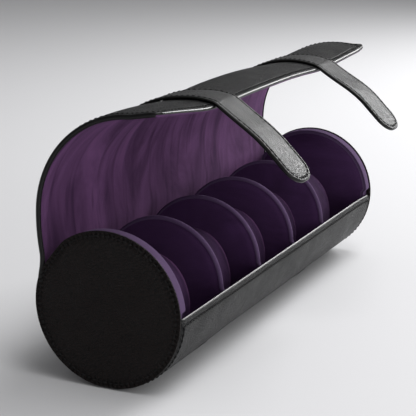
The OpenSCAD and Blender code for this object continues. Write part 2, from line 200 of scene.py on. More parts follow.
def cutBack(x, s):
    # the flap's front edge runs back a little towards its near corner
    share = faded(x + halfLength, edgeCut) * smooth(s, sheetEnd - edgeCut["depth"], sheetEnd)
    return edgeCut["back"] * share


def pull(x, s):
    # the straps hold the flap down at its edge: depth * exp(-((x - strap) / reach)^2)
    edge = smooth(s, partLengths[4], sheetEnd)
    total = 0
    for end in (strapPull["near"], strapPull["far"]):
        depth = end["depth"] + (end["edge"] - end["depth"]) * edge
        total = total + depth * bell(x - end["side"] * strapPull["offset"], end["reach"])
    beyond = smooth(s, sheetEnd, sheetEnd + strapPull["fade"])
    return total * (1 - beyond) * smooth(s, partLengths[1], partLengths[3])


def endShare(s):
    # 1 on the body, whose ends the end discs' leather covers, and 0 on the flap
    return 1 - smooth(s, foldLength - bodyFade["start"], foldLength - bodyFade["stop"])


def toFrame(x, front, up):
    axes = (x, caseShape["axisY"] - front, caseShape["axisZ"] + up)
    return np.stack(np.broadcast_arrays(*axes), -1)


def aroundCase(x, r, angle):
    # radius r and an angle round the case's centre line
    return toFrame(x, r * np.cos(angle), r * np.sin(angle))


def onSheet(x, s, h):
    # h is 0 on the lined side and the sheet's thickness outside; the underside is pressed flat
    s = s - cutBack(x, s)
    front, up = alongPath(leatherPath, s, h - sheetThickness + curl(x, s) - pull(x, s))
    droop = lipDroop["drop"] * faded(halfLength - x, lipDroop)
    up = up - droop * (1 - smooth(s, 0, lipDroop["depth"]))
    covered = 1 - caseShape["faceThickness"] / halfLength * endShare(s)
    return toFrame(x * covered, front, np.maximum(up, -caseShape["flatBelow"]))


# meshes: parts are made as arrays of points and quads, welded, and put into one object
weldDistance = 0.002


def link(thing):
    bpy.context.scene.collection.objects.link(thing)
    return thing


def gridFaces(rows, cols, closed=False):
    index = np.arange(rows * cols).reshape(rows, cols)
    if closed:
        index = np.concatenate([index, index[:, :1]], 1)
    corners = [index[:-1, :-1], index[1:, :-1], index[1:, 1:], index[:-1, 1:]]
    return np.stack(corners, -1).reshape(-1, 4)


def part(points, faces, mats=0, sheet=None):
    # points closer than the weld distance become one, and faces that close up are dropped
    points = np.asarray(points, float).reshape(-1, 3)
    sheet = np.zeros_like(points) if sheet is None else np.asarray(sheet, float).reshape(-1, 3)
    mats = np.broadcast_to(mats, len(faces)).astype(int)
    _, first, back = np.unique(np.round(points / weldDistance).astype(np.int64), axis=0,
                               return_index=True, return_inverse=True)
    faces = back.reshape(-1)[faces]
    distinct = faces != np.roll(faces, 1, axis=1)
    count = distinct.sum(1)
    quads = faces[count == 4]
    thin = count == 3
    order = np.argsort(~distinct[thin], axis=1, kind="stable")[:, :3]
    triangles = np.take_along_axis(faces[thin], np.sort(order, 1), 1)
    points, sheet = points[first], sheet[first]
    corners = np.concatenate([quads[:, [0, 1, 2]], quads[:, [0, 2, 3]], triangles])
    a, b, c = (points[corners[:, k]] for k in range(3))
    if np.einsum("ij,ij->i", a, np.cross(b, c)).sum() < 0:
        quads, triangles = quads[:, ::-1], triangles[:, ::-1]
    return points, quads, triangles, sheet, mats[count == 4], mats[thin]


def makePiece(name, parts, materials, body, replaced, sharpAngle=40):
    polygons, mats, offset = [], [], 0
    for points, quads, triangles, _, quadMats, triMats in parts:
        polygons += (quads + offset).tolist() + (triangles + offset).tolist()
        mats += [quadMats, triMats]
        offset += len(points)
    points, sheet = (np.concatenate([entry[k] for entry in parts]) / 1000 for k in (0, 3))
    mesh = bpy.data.meshes.new(name)
    mesh.from_pydata(points.tolist(), [], polygons)
    mesh.attributes.new("sheet", "FLOAT_VECTOR", "POINT").data.foreach_set(
        "vector", sheet.astype(np.float32).ravel())
    for material in materials:
        mesh.materials.append(material)
    mesh.polygons.foreach_set("material_index", np.concatenate(mats).astype(np.int32))
    mesh.shade_smooth()
    mesh.set_sharp_from_angle(angle=math.radians(sharpAngle))
    mesh.update()
    piece = link(bpy.data.objects.new(name, mesh))
    if isinstance(body, str):
        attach(piece, body)
    else:
        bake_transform(piece)
    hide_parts(*replaced)
    return piece


def edgeColumns(half, corner, extra=(), spacing=4.0):
    # stations across a strip: close together at its edges, where corners and seams need them
    near = corner * (1 - np.cos(np.radians(np.arange(0, 91, 10))))
    middle = np.linspace(near[-1], half, max(2, int((half - near[-1]) / spacing) + 1))
    side = np.unique(np.round(np.concatenate([near, middle, extra]), 4))
    return np.concatenate([-half + side, (half - side)[::-1][1:]])


def edgeDistance(x, s, half, start, end, corner):
    # distance to the nearest free edge, with round corners
    side = half - np.abs(x)
    nearest = side
    for gap in (s - start, end - s):
        straight = np.minimum(nearest, gap)
        rounded = corner - np.hypot(corner - side, corner - gap)
        inCorner = (side < corner) & (gap < corner)
        nearest = np.where(inCorner, np.minimum(nearest, rounded), straight)
    return np.maximum(nearest, 0)


edgeSteps = 1 - np.cos(np.radians([0, 22.5, 45, 67.5, 90]))
# rows of a strip beside a free edge, where the seam's groove runs
seamRows = np.arange(0.4, 6.5, 0.45)
# how far the lining comes round the far edge, and the painted share of an edge's radius
underEdge, paintedShare = 2.4, 0.75
noGroove = {"depth": 0.0, "at": 0.0, "width": 1.0}


def strip(place, half, span, outline, corner, low, high, edgeHeight, radius=1.5, rowSpacing=1.5,
          extra=(), groove=noGroove, edgeMat=0, underMat=None):
    # a sheet between two faces, low and high above its path; free edges close in a half round:
    # height = middle + (face - middle) * quarterRound(d) at a distance d from the edge
    x = edgeColumns(half, corner, extra)
    start, end = outline
    inset = corner * (1 - quarterRound(half - np.abs(x), corner))
    first = np.full_like(x, span[0]) if span[0] > start + corner else start + inset
    last = np.full_like(x, span[1]) if span[1] < end - corner else end - inset
    freeStart, freeEnd = first.max() > span[0] + 1e-6, last.min() < span[1] - 1e-6
    begin = radius * edgeSteps if freeStart else np.zeros(1)
    finish = radius * edgeSteps[::-1] if freeEnd else np.zeros(1)
    length, clear = span[1] - span[0], seamRows[-1] + 0.5
    rows = np.linspace(0, length, max(3, int(length / rowSpacing)))
    if freeStart:
        rows = np.concatenate([[0], seamRows, rows[rows > clear]])
    if freeEnd:
        rows = np.concatenate([rows[rows < length - clear], (length - seamRows)[::-1], [length]])
    rows = rows / length
    lowest = first[None] + begin[-1]
    s = np.concatenate([first[None] + begin[:-1, None],
                        lowest + rows[:, None] * (last - finish[0] - lowest),
                        last[None] - finish[1:, None]])
    x = np.broadcast_to(x, s.shape)
    d = edgeDistance(x, s, half, start, end, corner)
    close = quarterRound(d, radius)
    highFace = high(x, s, d) - groove["depth"] * bell(d - groove["at"], groove["width"])
    top, bottom = (place(x, s, edgeHeight + (face - edgeHeight) * close)
                   for face in (highFace, low(x, s, d)))
    count, faces = s.size, gridFaces(*s.shape)
    upper = np.arange(count).reshape(s.shape)
    walls = [np.stack([line[:-1], line[1:], line[1:] + count, line[:-1] + count], 1)
             for line in (upper[0], upper[-1, ::-1], upper[::-1, 0], upper[:, -1])]
    faces = np.concatenate([faces[:, ::-1], faces + count] + walls)
    depth = np.tile(d.ravel(), 2)
    mats = np.where(depth[faces].max(1) < radius * paintedShare, edgeMat, 0)
    # a groove may take a material of its own; on the straps it is the dark edge paint, painted
    # shade along the seam groove
    if "mat" in groove:
        line = np.abs(depth - groove["at"])[faces].mean(1) < groove["width"]
        mats = np.where(line & (faces.max(1) < count), groove["mat"], mats)
    if underMat is not None:
        # the lining comes round the lower half of the far edge
        lengths = np.tile(s.ravel(), 2)[faces].min(1)
        mats = np.where((faces.min(1) >= count) & (lengths > end - underEdge), underMat, mats)
    sheet = np.stack([x, s, np.zeros_like(s)], -1)
    return part(np.stack([top, bottom]), faces, mats, np.stack([sheet, sheet]))


thread = {"pitch": 3.5, "length": 2.5, "radius": 0.46, "sink": 0.36, "proud": 0.05}


def stitchMarks(line):
    # evenly spaced places along a line drawn on the sheet, each with its direction
    line = np.asarray(line, float)
    length = np.append(0, np.cumsum(stepLengths(line)))
    count = int(round(length[-1] / thread["pitch"]))
    at = (np.arange(count) + 0.5) * length[-1] / count

    def sample(at):
        return np.stack([np.interp(at, length, line[:, k]) for k in (0, 1)], 1)

    return sample(at), unit(sample(at + 0.5) - sample(at - 0.5))


def stitchParts(marks, place, height, span=None):
    # each stitch is a short thread whose ends dip into the leather:
    # radius = r * cos(psi)^0.6 and height = height - sink * (2a / length)^2 along its length a
    where, run = marks
    if span is not None:
        inside = (where[:, 1] >= span[0]) & (where[:, 1] < span[1])
        where, run = where[inside], run[inside]
    if not len(where):
        return []
    psi = np.radians(np.arange(-90, 91, 30))
    around = np.radians(np.arange(0, 360, 60))
    a = (thread["length"] / 2 * np.sin(psi))[:, None] * np.ones(6)
    radius = (thread["radius"] * np.cos(psi).clip(0) ** 0.6)[:, None]
    b = radius * np.cos(around)
    c = radius * np.sin(around) - thread["sink"] * (2 * a / thread["length"]) ** 2
    x = where[:, 0, None, None] + a * run[:, 0, None, None] - b * run[:, 1, None, None]
    s = where[:, 1, None, None] + a * run[:, 1, None, None] + b * run[:, 0, None, None]
    single = gridFaces(len(psi), 6, closed=True)
    faces = (single[None] + (np.arange(len(where)) * a.size)[:, None, None]).reshape(-1, 4)
    return [part(place(x, s, height + c), faces, 1)]


def revolve(axial, radial, outline):
    # a profile (distance along the case, share of the radius) carried round the case's centre
    # line: radius = share * outline(angle); axial has one value, or one for each angle
    steps = len(outline)
    x = np.asarray(axial, float).reshape(len(radial), -1) * np.ones(steps)
    r = np.asarray(radial, float)[:, None] * outline
    return aroundCase(x, r, fullTurn(steps)), gridFaces(len(axial), steps, closed=True)


print("path laid out:", round(sheetEnd), "mm of leather")


# materials

def colour(code):
    # sRGB hex to linear
    parts = [int(code[k:k + 2], 16) / 255 for k in (1, 3, 5)]
    return [c / 12.92 if c <= 0.04045 else ((c + 0.055) / 1.055) ** 2.4 for c in parts] + [1.0]


def feed(tree, node, inputs):
    # an input is a value, a socket, or a node, which gives its first output
    for key, value in inputs.items():
        if isinstance(value, bpy.types.Node):
            value = value.outputs[0]
        if isinstance(value, bpy.types.NodeSocket):
            tree.links.new(value, node.inputs[key])
        else:
            node.inputs[key].default_value = value


def addNode(tree, kind, inputs=None, **settings):
    node = tree.nodes.new("ShaderNode" + kind)
    for key, value in settings.items():
        setattr(node, key, value)
    feed(tree, node, inputs or {})
    return node


def newMaterial(name, surface):
    material = bpy.data.materials.new(name)
    material.use_nodes = True
    tree = material.node_tree
    tree.nodes.clear()
    shader = addNode(tree, "BsdfPrincipled", surface)
    addNode(tree, "OutputMaterial", {"Surface": shader})
    return material, tree, shader


grain = {
    "pore": 0.28, "mottle": 22.0, "warp": 5.0, "drift": 0.0004, "crease": 0.22, "bump": 0.00018,
}


def makeLeather(name, base, cellTop, roughness, relief, pebble, specular):
    # pebbled grain: cells about a millimetre across with creases between them, which break a
    # highlight up into fine sparkle; the mottle makes the finish a little uneven
    material, tree, shader = newMaterial(name, {"IOR": 1.5, "Specular IOR Level": specular})
    place = addNode(tree, "TexCoord").outputs["Object"]
    warp = addNode(tree, "TexNoise", {"Vector": place, "Scale": 1000 / grain["warp"],
                                      "Detail": 2.0})
    bend = addNode(tree, "VectorMath", {0: warp.outputs["Color"], 1: (grain["drift"],) * 3},
                   operation="MULTIPLY")
    moved = addNode(tree, "VectorMath", {0: place, 1: bend}, operation="ADD")
    cells = addNode(tree, "TexVoronoi", {"Vector": moved, "Scale": 1000 / pebble},
                    feature="DISTANCE_TO_EDGE")
    crease = addNode(tree, "MapRange", {"Value": cells, "From Max": grain["crease"]},
                     interpolation_type="SMOOTHSTEP")
    pores = addNode(tree, "TexNoise", {"Vector": place, "Scale": 1000 / grain["pore"],
                                       "Detail": 3.0, "Roughness": 0.6})
    height = addNode(tree, "Math", {0: pores, 1: 0.35, 2: crease}, operation="MULTIPLY_ADD")
    bump = addNode(tree, "Bump", {"Height": height, "Strength": relief,
                                  "Distance": grain["bump"]})
    mottle = addNode(tree, "TexNoise", {"Vector": place, "Scale": 1000 / grain["mottle"],
                                        "Detail": 4.0, "Roughness": 0.55})
    rough = addNode(tree, "MapRange", {"Value": mottle, "From Min": 0.3, "From Max": 0.7,
                                       "To Min": roughness - 0.06, "To Max": roughness + 0.07})
    # painted shade: the colour is darker in the creases between the cells and lighter on the cell
    # tops
    tone = addNode(tree, "Mix", {0: crease, 6: colour(base), 7: colour(cellTop)}, data_type="RGBA")
    feed(tree, shader, {"Base Color": tone.outputs[2], "Roughness": rough, "Normal": bump})
    return material


nap = {
    "patch": {"slant": -28, "scale": (30.0, 11.0, 30.0),
              "noise": {"Detail": 4.0, "Roughness": 0.6, "Distortion": 0.9}},
    "stroke": {"slant": -13, "scale": (135.0, 15.0, 60.0),
               "noise": {"Detail": 2.0, "Roughness": 0.5, "Distortion": 0.4}},
    "spread": 0.17,
    "fuzz": 0.8,
    "bump": 0.0003,
}


def makeSuede(name, dark, light, streak=0.7, sheen=0.4, useSheet=False):
    # brushed nap: broad uneven patches where the fibres lie differently, narrow darker strokes
    # that slant across them, and a fine fuzz over both
    material, tree, shader = newMaterial(name, {
        "Roughness": 0.92, "IOR": 1.45, "Specular IOR Level": 0.2, "Sheen Weight": sheen,
        "Sheen Roughness": 0.45, "Sheen Tint": colour(light)})
    if useSheet:
        place = addNode(tree, "Attribute", attribute_name="sheet").outputs["Vector"]
    else:
        place = addNode(tree, "TexCoord").outputs["Object"]
    layers = []
    for layer in (nap["patch"], nap["stroke"]):
        turned = addNode(tree, "Mapping", {"Vector": place, "Scale": layer["scale"],
                                           "Rotation": (0, 0, math.radians(layer["slant"]))})
        layers.append(addNode(tree, "TexNoise", {"Vector": turned, "Scale": 1.0,
                                                 **layer["noise"]}))
    patch, stroke = layers
    fuzz = addNode(tree, "TexNoise", {"Vector": place, "Scale": 1000 / nap["fuzz"], "Detail": 3.0,
                                      "Roughness": 0.7})
    spread = addNode(tree, "MapRange", {"Value": patch, "From Min": 0.5 - nap["spread"] / streak,
                                        "From Max": 0.5 + nap["spread"] / streak})
    mixed = addNode(tree, "Math", {0: fuzz, 1: 0.5, 2: spread}, operation="MULTIPLY_ADD")
    share = addNode(tree, "MapRange", {"Value": mixed, "From Min": 0.1, "From Max": 1.4})
    tone = addNode(tree, "Mix", {0: share, 6: colour(dark), 7: colour(light)}, data_type="RGBA")
    brushed = addNode(tree, "MapRange", {"Value": stroke, "From Min": 0.3, "From Max": 0.47,
                                         "To Min": 0.65 * streak, "To Max": 0.0})
    stroked = addNode(tree, "Mix", {0: brushed, 6: tone.outputs[2], 7: colour(dark)},
                      data_type="RGBA")
    bump = addNode(tree, "Bump", {"Height": fuzz, "Strength": 0.5, "Distance": nap["bump"]})
    feed(tree, shader, {"Base Color": stroked.outputs[2], "Normal": bump})
    return material


# black hide with a soft sparkle, smoother and shinier for the straps, and dull on the discs
blackLeather = makeLeather("pebbledCalfLeather", "#080809", "#121214", 0.4, 2.0, 1.3, 0.2)
strapLeather = makeLeather("smoothStrapLeather", "#0e0e0f", "#1c1c1e", 0.36, 0.9, 0.9, 0.45)
discLeather = makeLeather("mattDiscLeather", "#0b090a", "#1c1514", 0.6, 2.0, 1.6, 0.18)
# sealed edge: black and smooth, with a thin line of light; painted shade in the straps' groove
edgePaintAndGrooveShade = newMaterial("burnishedEdgeAndGrooveShade", {
    "Base Color": colour("#060606"), "Roughness": 0.32, "IOR": 1.5, "Specular IOR Level": 0.3})[0]
# black yarn, which reads as dark dots where the leather shines
threadMaterial = newMaterial("waxedThread", {
    "Base Color": colour("#0d0d0e"), "Roughness": 0.7, "IOR": 1.5, "Specular IOR Level": 0.3})[0]
# the lining is stroked most strongly, the rims are paler, and the padded sides quieter and darker
liningSuede = makeSuede("brushedPurpleSuede", "#301a36", "#734d79", 1.0, 0.5, useSheet=True)
# paler copy of the suede for the rounded rims: painted highlight where they catch the light
rimSuede = makeSuede("rimHighlightSuede", "#443250", "#604d6b", 0.6, 0.5)
# darker copy of the suede for the side faces: painted shade
darkSuede = makeSuede("shadedSuede", "#2f1a37", "#523560")
# the pillows are a darker copy of the suede, painted shade where they sit deep in the bays
shadedPillowSuede = makeSuede("shadedPillowSuede", "#25142c", "#432b4d")
print("materials made")


# the leather sheet, in sections that meet in the middle of each stiff part of the flap

sheetEdge = {
    "corner": 5.0, "lipCorner": 3.0, "border": 1.9, "seamInset": 3.8, "drawIn": 1.2,
    "drawWidth": 2.4, "lipRoll": 1.2, "waveFade": 12, "height": 1.45, "rows": 1.6,
    "frontRows": 1.2,
}
lining = {
    "corner": 8.0, "radius": 0.3, "low": 0.75, "high": 1.05, "tuck": 0.65, "tuckWidth": 3.0,
    "stations": (0.5, 0.9, 1.4, 2.0, 2.7, 3.4),
}
bendReach = {"back": 12, "ahead": 12, "backAtFold": 6}
seamInset = sheetEdge["seamInset"]
border = sheetEdge["border"] - 0.4
grooveShape = {"depth": 0.5, "at": seamInset, "width": 0.6}
grooveStations = seamInset + np.array([-1.1, -0.55, 0, 0.55, 1.1])
borderStations = sheetEdge["border"] + np.array([-0.7, -0.3, 0.1, 0.5, 1.0, 2.0, 3.2])


def gentleWave(x, s):
    # slow rises of a third of a millimetre, as hide over board has
    return (0.16 * np.sin(x / 21 + s / 33) + 0.12 * np.sin(x / 37 - s / 19 + 1.7)
            + 0.06 * np.sin(s / 9 + x / 50))


def innerLevel(s):
    # the lined side lies 0.2 mm deeper on the body than on the flap
    return -0.2 + 0.2 * smooth(s, foldLength - 15, foldLength + 5)


def leatherLow(x, s, d):
    # the lined side: full thickness at the turned edge, then let in for the lining
    return innerLevel(s) + 1.1 * smooth(d, sheetEdge["border"] - 0.3, sheetEdge["border"] + 0.4)


def leatherHigh(x, s, d):
    # the body's leather is drawn in where it is sewn to the end discs, and the lip rounds over
    drawn = sheetEdge["drawIn"] * bell(halfLength - np.abs(x), sheetEdge["drawWidth"])
    roll = sheetEdge["lipRoll"] * np.clip(1 - s / seamInset, 0, 1) ** 1.6
    wave = gentleWave(x, s) * smooth(d, 0, sheetEdge["waveFade"])
    return sheetThickness - roll - drawn * endShare(s) + wave


def liningLow(x, s, d):
    # the suede lies a little proud in the middle and is tucked in along its edge
    tucked = d + border - sheetEdge["border"]
    rise = lining["tuck"] * smooth(tucked, 0, lining["tuckWidth"])
    return innerLevel(s) + lining["low"] - rise


def liningHigh(x, s, d):
    return innerLevel(s) + lining["high"]


def jointSpan(pivot, before, after, back, ahead):
    ends = (pivot - back * heading(before), pivot + ahead * heading(after))
    return tuple(tuple((toFrame(0.0, *end) / 1000).tolist()) for end in ends)


sections = [{"name": "Body", "body": "case", "nodes": (0,)}]
for k in range(5):
    pivot = foldLine if k == 0 else bendLines[k]
    before = wallRise if k == 0 else bendRises[k]
    back = bendReach["backAtFold"] if k == 0 else bendReach["back"]
    joint = jointSpan(pivot, before, bendRises[k], back, bendReach["ahead"])
    body = ("case" if k == 0 else f"flap_{k}", f"flap_{k + 1}") + joint
    sections.append({"name": f"Bend{k + 1}", "body": body, "nodes": (k, k + 1)})
sections.append({"name": "Front", "body": "flap_5", "nodes": (5,)})


def nodeNames(onBody, kind, numbers):
    return [name for k in numbers for name in (onBody if k == 0 else [f"flap_{kind}_{k}"])]


# seams: one below the front edge and round the flap's three free sides
seamLine = halfLength - seamInset
cornerRun = np.radians(np.linspace(0, 90, 12))
innerCorner = sheetEdge["corner"] - seamInset
cornerX = halfLength - sheetEdge["corner"] + innerCorner * np.cos(cornerRun)
cornerS = sheetEnd - sheetEdge["corner"] + innerCorner * np.sin(cornerRun)
rightHalf = np.stack([np.append([seamLine, seamLine], cornerX),
                      np.append([seamInset, sheetEnd - 30], cornerS)], 1)
leftHalf = rightHalf[::-1] * [-1, 1]
sheetSeams = [stitchMarks(np.concatenate([rightHalf, leftHalf])),
              stitchMarks([(-seamLine, seamInset), (seamLine, seamInset)])]

leatherMaterials = [blackLeather, threadMaterial, edgePaintAndGrooveShade, liningSuede]
sheetBounds = [0.0, *seamLengths, sheetEnd]
for section, span in zip(sections, zip(sheetBounds, sheetBounds[1:])):
    front = section["name"] == "Front"
    corner = sheetEdge["lipCorner"] if section["name"] == "Body" else sheetEdge["corner"]
    parts = [strip(onSheet, halfLength, span, (0.0, sheetEnd), corner, leatherLow, leatherHigh,
                   sheetEdge["height"], extra=np.concatenate([grooveStations, borderStations]),
                   groove=grooveShape, edgeMat=2, underMat=3 if front else None,
                   rowSpacing=sheetEdge["frontRows" if front else "rows"])]
    for marks in sheetSeams:
        parts += stitchParts(marks, onSheet, sheetThickness + thread["proud"], span)
    nodes = nodeNames(["body_leather", "front_lip"], "leather", section["nodes"])
    makePiece("leather" + section["name"], parts, leatherMaterials, section["body"],
              nodes)

    inner = (max(span[0], border), min(span[1], sheetEnd - border))
    parts = [strip(onSheet, halfLength - border, inner, (border, sheetEnd - border),
                   lining["corner"], liningLow, liningHigh, lining["low"],
                   radius=lining["radius"], extra=lining["stations"])]
    makePiece("lining" + section["name"], parts, [liningSuede], section["body"],
              nodeNames(["body_lining"], "lining", section["nodes"]))
print("leather and lining made:", len(sections), "sections each")


# straps: a band sewn on the body and the flap, whose free end is the tab

strap = {
    "halfWidth": 14.0, "startAngle": 63.0, "startCorner": 8.0, "tabHalf": 31.0, "tabKink": 12.0,
    "tabTurn": 9.0, "tabCorner": 12.0, "seamInset": 2.4, "crown": 0.35, "crease": 1.4,
    "bend": 9.0, "tabExtra": 2.8, "bandRise": 1.5, "pathHeight": 1.0, "leaveFlap": 4,
    "creaseBack": 1.0, "outer": 1.0, "inner": 0.95, "tabOuter": 0.2, "tabInner": 0.25,
    "stitch": 0.98, "edgeRadius": 1.0, "rows": 1.6, "rootReach": (1, 12), "middleReach": (13, 13),
}
pathHeight = strap["pathHeight"]
tabStart = bendLines[5] + strap["bandRise"] * heading(bendRises[5] + 90)
tabRise = bendRises[5] - strap["tabKink"]
tabRadius = strap["tabHalf"] / math.radians(strap["tabTurn"])
tabPoints = [tabStart]
for k in range(2):
    rise = tabRise - k * strap["tabTurn"]
    centre = tabPoints[-1] + tabRadius * heading(rise - 90)
    tabPoints.append(centre + tabRadius * heading(rise + 90 - strap["tabTurn"]))


def roundedTurn(at, before, after, reach, count=9):
    # a quadratic curve that turns at a point from one direction to another, reach mm either side
    share = np.linspace(0, 1, count)[:, None]
    start, stop = at - reach * before, at + reach * after
    return (1 - share) ** 2 * start + 2 * share * (1 - share) * at + share**2 * stop


def straightRun(p, q):
    return p + (q - p) * np.linspace(0, 1, max(2, int(np.linalg.norm(q - p))))[:, None]


# the strap follows the flap to its edge, is creased there, and the tab has a soft bend halfway
sheetSteps = np.arange(0, sheetEnd - strap["leaveFlap"], 0.5)
onFlap = np.stack(alongPath(leatherPath, sheetSteps, pathHeight), 1)
creaseAt = np.stack(alongPath(leatherPath, sheetEnd - strap["creaseBack"], pathHeight))
toMiddle, toEnd = unit(tabPoints[1] - creaseAt), unit(tabPoints[2] - tabPoints[1])
creaseTurn = roundedTurn(creaseAt, heading(bendRises[5]), toMiddle, strap["crease"])
middleTurn = roundedTurn(tabPoints[1], toMiddle, toEnd, strap["bend"], 15)
strapPath = makePath([onFlap, creaseTurn, straightRun(creaseTurn[-1], middleTurn[0])[1:],
                      middleTurn[1:],
                      straightRun(middleTurn[-1], tabPoints[2] + strap["tabExtra"] * toEnd)[1:]])
strapEnd = float(strapPath["s"][-1])
strapStart = math.radians(strap["startAngle"]) * (caseShape["bodyRadius"] + pathHeight)
tabRootAt, tabMiddleAt = lengthAt(strapPath, tabStart), lengthAt(strapPath, tabPoints[1])
strapSeams = [lengthAt(strapPath, np.stack(alongPath(leatherPath, s, pathHeight)))
              for s in seamLengths]
strapSeams += [(tabRootAt + tabMiddleAt) / 2, (tabMiddleAt + strapEnd) / 2]


def strapPlace(middle):
    # h is measured from the middle of the strap's thickness; the strap's path is a little longer
    # than the leather's under it, because it runs outside it
    along = strapPath["s"][:len(sheetSteps)]

    def place(x, s, h):
        alongLeather = s - np.interp(s, along, along - sheetSteps)
        front, up = alongPath(strapPath, s, h - pull(x + middle, alongLeather))
        return toFrame(x + middle, front, np.maximum(up, -caseShape["axisZ"]))
    return place


def strapHigh(x, s, d):
    # the strap is fuller between its seams, and the tab is a little thicker than the band
    full = strap["outer"] + strap["tabOuter"] * smooth(s, tabRootAt - 4, tabRootAt + 4)
    return full + strap["crown"] * smooth(d, strap["seamInset"], 9)


def strapLow(x, s, d):
    return -strap["inner"] - strap["tabInner"] * smooth(s, tabRootAt - 1, tabRootAt + 4)


def roundedEnd(at, corner, sign):
    # half of a strap's end: straight side, then the corner, then half the end edge
    turn = np.radians(np.linspace(0, 90, 10))
    inner = corner - strap["seamInset"]
    x = strap["halfWidth"] - corner + inner * np.cos(turn)
    s = at + sign * (-corner + inner * np.sin(turn))
    return np.stack([np.append(x, 0), np.append(s, s[-1])], 1)


rightSide = np.concatenate([roundedEnd(strapStart, strap["startCorner"], -1)[::-1],
                            roundedEnd(strapEnd, strap["tabCorner"], 1)])
strapMarks = [stitchMarks(rightSide), stitchMarks(rightSide * [-1, 1])]
# the strap's seam groove is coloured with the edge paint, a painted shade
strapGroove = {"depth": 0.5, "at": strap["seamInset"], "width": 0.5, "mat": 2}
strapStations = strap["seamInset"] + np.array([-0.9, -0.45, 0, 0.45, 0.9])
bounds = [strapStart, *strapSeams, strapEnd]

for side, sign in sides.items():
    place = strapPlace(sign * strapPull["offset"])
    for k, (first, last) in enumerate(zip(bounds, bounds[1:])):
        if k <= 5:
            body = sections[k]["body"]
            nodes = nodeNames([f"{side}_base_strap"], "straps", sections[k]["nodes"])
        elif k == 6:
            span = jointSpan(tabStart, bendRises[5], tabRise, *strap["rootReach"])
            body = ("flap_5", f"{side}_tab") + span
            nodes = ["flap_straps_5", f"{side}_tab_root"]
        elif k == 7:
            rise = tabRise - strap["tabTurn"]
            span = jointSpan(tabPoints[1], rise, rise, *strap["middleReach"])
            body = (f"{side}_tab", f"{side}_tab_tip") + span
            nodes = [f"{side}_tab_root", f"{side}_tab_end"]
        else:
            body, nodes = f"{side}_tab_tip", [f"{side}_tab_end", f"{side}_tab_magnet"]
        corner = strap["startCorner"] if k == 0 else strap["tabCorner"]
        parts = [strip(place, strap["halfWidth"], (first, last), (strapStart, strapEnd), corner,
                       strapLow, strapHigh, 0.0, radius=strap["edgeRadius"], extra=strapStations,
                       groove=strapGroove, edgeMat=2, rowSpacing=strap["rows"])]
        stitchHeight = strap["stitch"] + (strap["tabOuter"] if k > 6 else 0)
        for marks in strapMarks:
            parts += stitchParts(marks, place, stitchHeight, (first, last))
        makePiece(f"{side}Strap{k + 1}", parts, [strapLeather, threadMaterial, edgePaintAndGrooveShade], body,
                  nodes)
print("straps and tabs made")


# end discs: a leather face over a suede-covered board

disc = {
    "edge": 1.1, "seamRadius": 42.3, "pad": 0.9, "pleats": 96, "pleatHeight": 0.45, "dish": 0.5,
    "leather": 1.3, "tuck": 1.25, "rim": 3.0, "crease": 3.2, "groove": 0.35,
    "pleatIn": (0.2, 1.0), "pleatOut": (2.4, 5.0), "dishSpan": (4, 20), "sharpness": 2.5,
    "padFree": ((2.0, 5.5), (166, 168)), "wallFrom": 120, "steps": 944, "padSteps": 288,
}


def discOutline(radius, steps):
    # round, with a soft flat at the back under the closed flap, and pressed flat below
    angle, sharpness = fullTurn(steps), disc["sharpness"]
    facing = np.maximum(np.cos(angle - math.radians(caseShape["flatAngle"])), 0.2)
    flat = caseShape["flatDistance"] / facing
    # soft minimum: -log(exp(-k * radius) + exp(-k * flat)) / k
    reach = -np.log(np.exp(-sharpness * radius) + np.exp(-sharpness * flat)) / sharpness
    down = np.maximum(-np.sin(angle), 0.2)
    return angle, np.minimum(reach, caseShape["discFlatBelow"] / down)


def padOutline(steps):
    # the pad fits the lining below, and widens above the front edge and beside the back wall
    angle, reach = discOutline(caseShape["padRadius"], steps)
    fitting = caseShape["discRadius"]
    wall = fitting / np.maximum(np.cos(angle - math.radians(wallAngle)), 0.3)
    degree = np.degrees(angle)
    free = smooth(degree, *disc["padFree"][0]) * (1 - smooth(degree, *disc["padFree"][1]))
    reach = np.minimum(reach, np.where(degree > disc["wallFrom"], wall, reach))
    return angle, fitting + (reach - fitting) * free


def discProfile(front, back, radius, edge, steps=5, spacing=1.5):
    # (axial, radial) out along the front and in along the back, with both corners rounded
    corners = np.array([(front, 0), (front, radius), (back, radius), (back, 0)], float)
    turns = [roundedTurn(at, unit(at - before), unit(after - at), edge, steps)
             for before, at, after in zip(corners, corners[1:], corners[2:])]
    sparse = np.concatenate([corners[:1], *turns, corners[3:]])
    profile = [sparse[:1]]
    for a, b in zip(sparse, sparse[1:]):
        count = max(1, int(np.linalg.norm(b - a) / spacing))
        profile.append(a + (b - a) * (np.arange(1, count + 1) / count)[:, None])
    return np.concatenate(profile)


